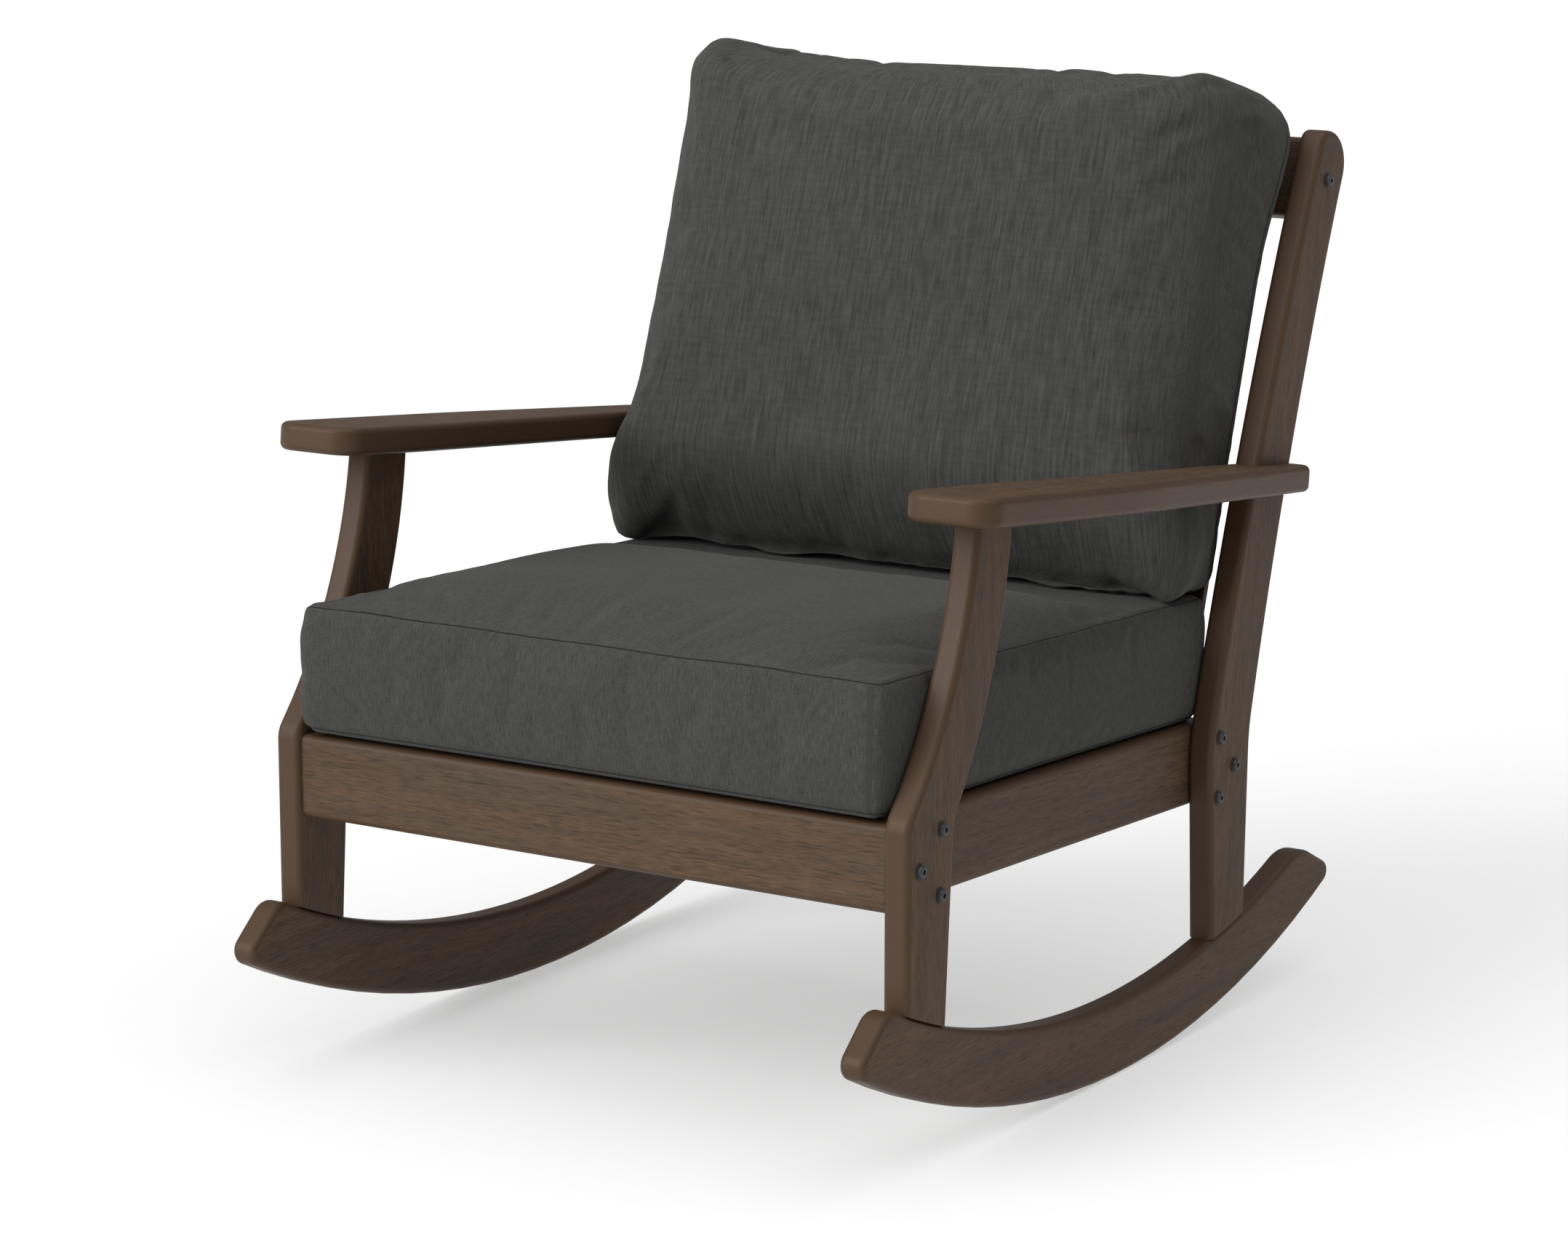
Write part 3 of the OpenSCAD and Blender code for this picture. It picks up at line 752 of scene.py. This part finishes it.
def draw_in(piece, depth, width):
    """Pulls the cloth in along its sewn lines."""
    mesh = piece.data
    normals = np.empty(len(mesh.vertices) * 3, np.float32)
    mesh.vertices.foreach_get("normal", normals)
    seam = read_floats(mesh, "seam")
    pull = depth * np.exp(-(seam / width) ** 2)
    move_to(mesh, coordinates(mesh) - normals.reshape(-1, 3) * pull[:, None])


def refine(piece):
    """One subdivision, applied."""
    finer = piece.modifiers.new("Finer", "SUBSURF")
    finer.levels = finer.render_levels = 1
    settle_modifiers(piece)


def seat_cushion(settings):
    """The boxed seat cushion, made in the seat's axes: u across, v from front to back, n up."""
    axes = axes_matrix(SEAT_ORIGIN, ACROSS, SEAT_DEEP, SEAT_UP)
    low, high = node_extent("seat_cushion_cover", axes)
    middle = (low + high) / 2
    half_u, half_v = (high[0] - low[0]) / 2 + 0.003, (high[1] - low[1]) / 2 + 0.001
    outline = rounded_outline(half_u, half_v, 0.011, 0.014)
    u, v = outline.T.copy()
    outline[:, 0] -= settings.pull_in * MM * (u / half_u) ** 3 * (1 - (v / half_v) ** 2)
    outline[:, 1] -= settings.pull_in * MM * (v / half_v) ** 3 * (1 - (u / half_u) ** 2)
    line, lengths = edge_profile(low[2], high[2], 0.014, 0.007)
    piece = wrapped_block("seat_cushion_soft", outline, line, settings.voxel * MM)
    seam, offset = sew(
        piece, line, (lengths[4], lengths[-4]), outline,
        lambda co: (co[:, 0], co[:, 1], 0 * co[:, 0]),
        lambda co, around, along: (around, co[:, 2], 0 * around))

    co = coordinates(piece.data)
    rest = co.copy()
    # the top is crowned and a little uneven, except where the back cushion stands on it
    top = smooth(middle[2], high[2] - 0.001, co[:, 2])
    on_top = smooth(0.004, 0.05, offset) * (co[:, 2] > middle[2])
    crown = (1 - (co[:, 0] / half_u) ** 4) * (1 - np.clip((co[:, 1] + 0.06) / (half_v - 0.06), -1.2, 1) ** 4)
    under_back = 1 - smooth(0.10, 0.19, co[:, 1])
    co[:, 2] += settings.seat_crown * MM * np.clip(crown, 0, 1) * on_top * (0.12 + 0.88 * under_back)
    wave = bumps(rest * (1, 1, 0), 0.075, 3)
    co[:, 2] += 0.0018 * wave * top * under_back
    # the band bulges between its seams
    side = np.clip(1 - np.abs(co[:, 2] - middle[2]) / (middle[2] - low[2]), 0, 1)
    near_edge = 1 - smooth(0.0, 0.02, offset)
    bulge = near_edge * (0.0035 * smooth(0, 0.6, side)
                         + 0.0012 * bumps(rest, 0.05, 5) * smooth(0, 0.4, side))
    radial = np.stack((co[:, 0] / half_u, co[:, 1] / half_v), 1) ** 7
    radial /= np.maximum(np.linalg.norm(radial, axis=1), 1e-6)[:, None]
    co[:, :2] += radial * bulge[:, None]
    move_to(piece.data, co)

    bottom = co[:, 2] < low[2] + 0.006
    held = np.maximum(bottom, np.exp(-(seam / 0.006) ** 2))
    held = np.maximum(held, smooth(0.13, 0.20, co[:, 1]) * (co[:, 2] > middle[2]))
    puff_up(piece, held, settings.pressure, settings.slack, settings.cap * MM)
    refine(piece)
    draw_in(piece, 1.1 * MM, 2.6 * MM)
    co = coordinates(piece.data)
    between_legs = HALF_WIDTH - 0.0007
    co[:, 0] = np.clip(co[:, 0], -between_legs, between_legs)
    co[:, 1] = np.clip(co[:, 1], -half_v - 0.010, half_v + 0.003)
    co[:, 1] += middle[1] - 0.006
    co[:, 2] = np.maximum(co[:, 2], low[2] - 0.0002)
    move_to(piece.data, co)
    return cloth_piece("seat_cushion_soft", "seat_cushion_cover", "seat_cushion", piece, axes)


def back_cushion(settings):
    """The swollen back cushion, made in the back's axes: u across, v up the back, n forward."""
    axes = axes_matrix(BACK_ORIGIN, ACROSS, BACK_UP, BACK_FRONT)
    low, high = node_extent("back_cushion_cover", axes)
    # where its rear edge meets the seat cushion, how the seat's top falls away from there, and how far the
    # cushion's block starts below that
    foot, slope, below = 0.1573, 0.0385 / 0.142, 0.020
    top = high[1] + settings.ears * MM
    middle_v = (foot - below + top) / 2
    half_u, half_v = (high[0] - low[0]) / 2 + 0.002, (top - foot + below) / 2
    outline = rounded_outline(half_u, half_v, 0.018, 0.050)
    u, v = outline.T.copy()
    outline[:, 0] -= settings.back_pull * MM * (u / half_u) ** 3 * (1 - ((v - 0.02) / half_v) ** 2)
    upper = np.clip(v / half_v, 0, 1)
    outline[:, 1] -= settings.top_sag * MM * upper ** 3 * (1 - (u / (0.86 * half_u)) ** 4).clip(0, 1)
    back_n, front_n = low[2] + 0.001, high[2] + settings.front_swell * MM
    line, lengths = edge_profile(back_n, front_n, 0.022, 0.038)
    piece = wrapped_block("back_cushion_soft", outline, line, settings.voxel * MM)
    seam, offset = sew(
        piece, line, (lengths[4], lengths[7]), outline,
        lambda co: (co[:, 0] - co[:, 2] * co[:, 0] / half_u,
                    co[:, 1] - co[:, 2] * co[:, 1] / half_v, 0 * co[:, 0]),
        lambda co, around, along: (along, around, 0 * around))

    co = coordinates(piece.data)
    rest = co.copy()
    front = smooth((back_n + front_n) / 2, front_n, co[:, 2])
    crown = (1 - np.abs(co[:, 0] / half_u) ** 2.6) * (1 - np.abs(co[:, 1] / half_v) ** 3.0)
    co[:, 2] += settings.back_crown * MM * np.clip(crown, 0, 1) ** 0.8 * front
    # the corners at the top stand out to the sides, and the foot spreads over the seat cushion
    low_down = np.exp(-((rest[:, 1] + half_v - 0.060) / 0.060) ** 2)
    high_up = np.exp(-((rest[:, 1] - half_v + 0.050) / 0.070) ** 2)
    forward = smooth(back_n, front_n, rest[:, 2])
    spread = (0.019 * low_down * smooth(0.1, 0.6, forward)
              + 0.011 * high_up * (1 - 1.2 * forward))
    co[:, 0] += spread * np.sign(co[:, 0]) * np.abs(co[:, 0] / half_u) ** 3
    # the front falls away softly towards the sitter's left
    co[:, 2] -= 0.024 * smooth(0.45, 1.02, rest[:, 0] / half_u) ** 1.5 * front
    # the corner at the sitter's right stands highest
    near_corner = np.exp(-((rest[:, 0] + 0.262) / 0.07) ** 2)
    co[:, 1] += 0.010 * near_corner * smooth(0.45 * half_v, half_v, rest[:, 1])
    # the front turns under where it meets the seat
    turned_under = 1 - smooth(0.0, 0.110, rest[:, 1] + half_v)
    co[:, 2] -= (0.066 - 0.030 * np.abs(co[:, 0] / half_u) ** 6) * turned_under ** 1.2 * front
    # soft hollows over the front, and puckers along the edges
    soft = smooth(back_n + 0.01, back_n + 0.06, co[:, 2])
    co[:, 2] += front * (0.0040 * bumps(rest, 0.13, 7)
                         + 0.0016 * bumps(rest * (1.4, 0.5, 1), 0.035, 9))
    edge = 1 - smooth(0.0, 0.05, offset)
    ripple = (0.0024 * bumps(rest, 0.060, 11) + 0.0013 * bumps(rest, 0.018, 12)) * edge * soft
    co[:, 1] += ripple * np.sign(co[:, 1])
    co[:, 0] += 0.6 * ripple * np.sign(co[:, 0])
    move_to(piece.data, co)

    rear = 1 - smooth(back_n + 0.004, back_n + 0.010, co[:, 2])
    held = np.maximum(rear, 0.9 * np.exp(-(seam / 0.007) ** 2))
    puff_up(piece, held, settings.pressure, settings.back_slack, settings.back_cap * MM)
    refine(piece)
    draw_in(piece, 1.2 * MM, 3.0 * MM)
    co = coordinates(piece.data)
    co[:, 1] += middle_v
    # no wider than the gap between the arms at their height, or between the rear legs below the top corners
    arm_level = np.exp(-((co[:, 1] - 0.290) / 0.045) ** 4)
    between_legs = (1 - smooth(0.040, 0.056, co[:, 2])) * (1 - smooth(0.50, 0.54, co[:, 1]))
    widest = HALF_WIDTH + 0.008 - np.maximum(0.0165 * arm_level, 0.0095 * between_legs)
    co[:, 0] = np.clip(co[:, 0], -widest, widest)
    co[:, 2] = np.maximum(co[:, 2], low[2] - 0.0002)
    # the underside lies on the seat cushion: its lowest line rises towards the back
    floor = foot + 0.002 - slope * (co[:, 2] - low[2])
    share = 1 - smooth(0.0, 0.14, co[:, 1] - (foot - below))
    co[:, 1] += share * (below - slope * (co[:, 2] - low[2]))
    co[:, 1] = np.maximum(co[:, 1], floor)
    # the foot's corners sink further, where the seat cushion is no longer crowned
    co[:, 1] -= 0.005 * np.abs(co[:, 0] / half_u) ** 6 * share * smooth(0.06, 0.12, co[:, 2])
    move_to(piece.data, co)
    return cloth_piece("back_cushion_soft", "back_cushion_cover", "back_cushion", piece, axes)


# ---- The stage ----

CAMERA_PLACE = (2.20483, -3.48178, 1.23965)
CAMERA_TURN = (radians(90 - 11.822), 0, radians(32.618))
CAMERA_LENS = 104.33
FLOOR_HALF = 120


def make_stage(settings):
    """The camera, the pale floor and two soft lamps."""
    scene = bpy.context.scene
    lens = bpy.data.cameras.new("view")
    lens.lens, lens.sensor_width, lens.sensor_fit = CAMERA_LENS, 36, "HORIZONTAL"
    camera = bpy.data.objects.new("view", lens)
    camera.location, camera.rotation_euler = CAMERA_PLACE, CAMERA_TURN
    scene.collection.objects.link(camera)
    scene.camera = camera
    scene.view_settings.view_transform = "Standard"

    bm = bmesh.new()
    bmesh.ops.create_grid(bm, x_segments=8, y_segments=8, size=FLOOR_HALF)
    floor = new_piece("floor", bm)
    floor.location.z = CAD_BOX[0][2] - 0.0003
    dress(floor, floor_finish(settings.floor_colour, settings.floor_glow))

    world = bpy.data.worlds.new("studio")
    world.use_nodes = True
    scene.world = world
    sky = world.node_tree.nodes["Background"]
    sky.inputs["Color"].default_value = (1, 1, 1, 1)
    sky.inputs["Strength"].default_value = settings.room_light

    for name, place, soft, power in (
            ("overhead", (0.15, -0.10, 1.0), 75, settings.overhead_light),
            ("left_front", (-0.42, -0.80, 0.48), 45, settings.front_light)):
        lamp = bpy.data.lights.new(name, "SUN")
        lamp.angle, lamp.energy = radians(soft), power
        light = bpy.data.objects.new(name, lamp)
        light.location = Vector(place) * 3
        light.rotation_euler = Vector(place).to_track_quat("Z", "Y").to_euler()
        scene.collection.objects.link(light)


# ---- Settings ----

def colour(name, description, default):
    return bpy.props.FloatVectorProperty(name=name, description=description, default=default,
                                         subtype="COLOR", size=3, min=0, max=1)


def number(name, description, default, low=0.0, high=1000.0, **more):
    return bpy.props.FloatProperty(name=name, description=description, default=default,
                                   min=low, max=high, **more)


class ChairBoardSettings(bpy.types.PropertyGroup):
    """Sizes and stain of the boards"""
    roundover: number("Roundover", "Radius of the frame boards' edges, in millimetres", 6.0, 1, 10)
    slat_roundover: number("Slat roundover", "Radius of the slats' edges, in millimetres", 3.0, 0.5, 6)
    warm: colour("Warm stain", "The warm bands of the broad faces", (0.083, 0.0475, 0.0255))
    grey: colour("Grey stain", "The weathered bands of the broad faces", (0.064, 0.042, 0.027))
    edge: colour("Edge stain", "The sanded edges", (0.062, 0.0355, 0.0195))
    pore_colour: colour("Pores", "The dark pores", (0.016, 0.011, 0.008))
    streak: number("Streaks", "Strength of the short grain streaks", 1.20, 0, 2)
    pores: number("Pore strength", "How dark the pores are", 0.45, 0, 1)
    relief: number("Relief", "Depth of the grain, in millimetres", 0.28, 0, 2)


class ChairCushionSettings(bpy.types.PropertyGroup):
    """Shape and cloth of the cushions"""
    dark: colour("Dark yarn", "The dark yarn of the heather", (0.0235, 0.0235, 0.0225))
    light: colour("Light yarn", "The light yarn of the heather", (0.064, 0.063, 0.060))
    # the colour of the painted shade along the sewn lines
    seam_shade_colour: colour("Seam", "The shadowed sewn line", (0.006, 0.006, 0.006))
    seam_width: number("Seam width", "Half width of the sewn line, in millimetres", 1.5, 0.2, 5)
    relief: number("Relief", "Depth of the weave, in millimetres", 0.30, 0, 2)
    voxel: number("Mesh size", "Size of the cloth mesh, in millimetres", 6.0, 4, 10)
    pressure: number("Pressure", "Pressure of the filling", 4.0, 0, 20)
    slack: number("Slack", "Share by which the cover is larger than its filling", 0.012, 0, 0.1)
    cap: number("Swell", "The furthest that the cover may swell, in millimetres", 14.0, 0, 30)
    back_slack: number("Back slack", "Share by which the back cover is larger than its filling",
                       0.012, 0, 0.1)
    back_cap: number("Back swell", "The furthest that the back cover may move, in millimetres", 8.0, 0, 30)
    pull_in: number("Seat pull-in", "How far the seat cushion's sides draw in, in millimetres", 3.0, 0, 20)
    seat_crown: number("Seat crown", "Height of the seat cushion's crown, in millimetres", 13.0, 0, 30)
    back_pull: number("Back pull-in", "How far the back cushion's sides draw in, in millimetres", 2.0, 0, 30)
    top_sag: number("Top sag", "How far the back cushion's top sags, in millimetres", 11.0, 0, 40)
    ears: number("Top corners", "How far the back cushion's top corners stand up, in millimetres", 9.0, 0, 40)
    front_swell: number("Front swell", "How far the front panel's edge swells forward, in millimetres",
                        16.0, 0, 60)
    back_crown: number("Back crown", "Height of the back cushion's crown, in millimetres", 10.0, 0, 60)


class ChairStageSettings(bpy.types.PropertyGroup):
    """Floor and light"""
    floor_colour: colour("Floor", "Colour of the floor", (0.46, 0.46, 0.46))
    floor_glow: number("Floor glow", "Light that the floor gives off, as a lit cove does", 0.47, 0, 5)
    room_light: number("Room light", "Strength of the light from all round", 0.30, 0, 10)
    overhead_light: number("Overhead", "Strength of the overhead light", 1.7, 0, 50)
    front_light: number("Front left", "Strength of the light from the front left", 2.7, 0, 50)


# ---- Operators ----

class CHAIR_OT_stage(bpy.types.Operator):
    """Place the camera, the pale floor and the studio light"""
    bl_idname = "chair.stage"
    bl_label = "Stage"

    def execute(self, context):
        make_stage(context.scene.chair_stage)
        return {"FINISHED"}


class CHAIR_OT_rockers(bpy.types.Operator):
    """Shape the two curved rockers"""
    bl_idname = "chair.rockers"
    bl_label = "Rockers"

    def execute(self, context):
        for node in ROCKERS:
            board(node, FORE_AND_AFT, context.scene.chair_boards.roundover, never)
        return {"FINISHED"}


class CHAIR_OT_legs(bpy.types.Operator):
    """Shape the front and rear legs"""
    bl_idname = "chair.legs"
    bl_label = "Legs"

    def execute(self, context):
        roundover = context.scene.chair_boards.roundover
        front_foot, front_top, rear_foot = 0.152, 0.5445, 0.12
        for node in FRONT_LEGS:
            board(node, UPRIGHT, roundover,
                  lambda middle, share: middle.z < front_foot or middle.z > front_top)
        for node in REAR_LEGS:
            board(node, Vector((0, 0.2, 1)), roundover, lambda middle, share: middle.z < rear_foot)
        return {"FINISHED"}


class CHAIR_OT_rails(bpy.types.Operator):
    """Shape the front, rear, top and side rails and the seat cleats"""
    bl_idname = "chair.rails"
    bl_label = "Rails and cleats"

    def execute(self, context):
        roundover = context.scene.chair_boards.roundover
        for node in CROSS_RAILS:
            board(node, ACROSS, roundover, at_ends)
        cleat_roundover = 2
        for node in SIDE_BOARDS:
            board(node, SEAT_DEEP, roundover if "rail" in node else cleat_roundover, at_ends)
        return {"FINISHED"}


class CHAIR_OT_slats(bpy.types.Operator):
    """Shape the seat and back slats"""
    bl_idname = "chair.slats"
    bl_label = "Slats"

    def execute(self, context):
        roundover = context.scene.chair_boards.slat_roundover
        for node in SEAT_SLATS:
            board(node, ACROSS, roundover, at_ends)
        for node in BACK_SLATS:
            board(node, BACK_UP, roundover, never)
        return {"FINISHED"}


class CHAIR_OT_arms(bpy.types.Operator):
    """Shape the arms, with a square notch round each rear leg"""
    bl_idname = "chair.arms"
    bl_label = "Arms"

    def execute(self, context):
        notch = min(v.co.y for node in REAR_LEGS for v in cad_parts[node].data.vertices
                    if 0.50 < v.co.z < 0.56) - 0.006

        def in_notch(middle, share):
            outer_face = HALF_WIDTH + BOARD_THICKNESS + 0.0002
            return abs(middle.x) < outer_face and middle.y > notch and share > 0.6

        for node in ARMS:
            board(node, FORE_AND_AFT, context.scene.chair_boards.roundover, in_notch)
        return {"FINISHED"}


class CHAIR_OT_fasteners(bpy.types.Operator):
    """Turn the domed bolts and washers, and plate the screws and nuts"""
    bl_idname = "chair.fasteners"
    bl_label = "Bolts and screws"

    def execute(self, context):
        coated = finish_once("coated_bolt", metal_finish, "coated_bolt",
                             (0.036, 0.038, 0.042), 0.2, 0.48, (0.060, 0.061, 0.066))
        # near-black washers, which give the dark ring round each bolt head
        near_black = finish_once("blackened_washer", metal_finish, "blackened_washer",
                                (0.010, 0.010, 0.011), 0.1, 0.55, (0.020, 0.020, 0.021))
        plated = finish_once("plated_screw", metal_finish, "plated_screw",
                             (0.46, 0.45, 0.43), 1.0, 0.36, (0.60, 0.59, 0.57))
        for node in BOLTS:
            dress(bolt_heads(node), coated)
        dress(washers(), near_black)
        for node in SCREWS:
            dress(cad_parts[node], plated)
        return {"FINISHED"}


class CHAIR_OT_seat_cushion(bpy.types.Operator):
    """Sew and fill the seat cushion, and put its foam inside"""
    bl_idname = "chair.seat_cushion"
    bl_label = "Seat cushion"

    def execute(self, context):
        seat_cushion(context.scene.chair_cushions)
        dress(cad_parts["seat_foam_core"], finish_once("seat_foam", foam_finish))
        return {"FINISHED"}


class CHAIR_OT_back_cushion(bpy.types.Operator):
    """Sew and fill the back cushion"""
    bl_idname = "chair.back_cushion"
    bl_label = "Back cushion"

    def execute(self, context):
        back_cushion(context.scene.chair_cushions)
        return {"FINISHED"}


OPERATORS = (CHAIR_OT_stage, CHAIR_OT_rockers, CHAIR_OT_legs, CHAIR_OT_rails, CHAIR_OT_slats, CHAIR_OT_arms,
             CHAIR_OT_fasteners, CHAIR_OT_seat_cushion, CHAIR_OT_back_cushion)


class CHAIR_PT_parts(bpy.types.Panel):
    """The parts of the rocking chair"""
    bl_idname = "CHAIR_PT_parts"
    bl_label = "Rocking Chair"
    bl_space_type = "VIEW_3D"
    bl_region_type = "UI"
    bl_category = "Rocking Chair"

    def draw(self, context):
        for operator in OPERATORS:
            self.layout.operator(operator.bl_idname)


SETTINGS = {"chair_boards": ChairBoardSettings, "chair_cushions": ChairCushionSettings,
            "chair_stage": ChairStageSettings}


def register():
    for kind in (*SETTINGS.values(), *OPERATORS, CHAIR_PT_parts):
        bpy.utils.register_class(kind)
    for name, kind in SETTINGS.items():
        setattr(bpy.types.Scene, name, bpy.props.PointerProperty(type=kind))


def unregister():
    for name in SETTINGS:
        delattr(bpy.types.Scene, name)
    for kind in (CHAIR_PT_parts, *reversed(OPERATORS), *SETTINGS.values()):
        bpy.utils.unregister_class(kind)


def main():
    register()
    for operator in OPERATORS:
        group, name = operator.bl_idname.split(".")
        getattr(getattr(bpy.ops, group), name)()


if __name__ == "__main__":
    main()
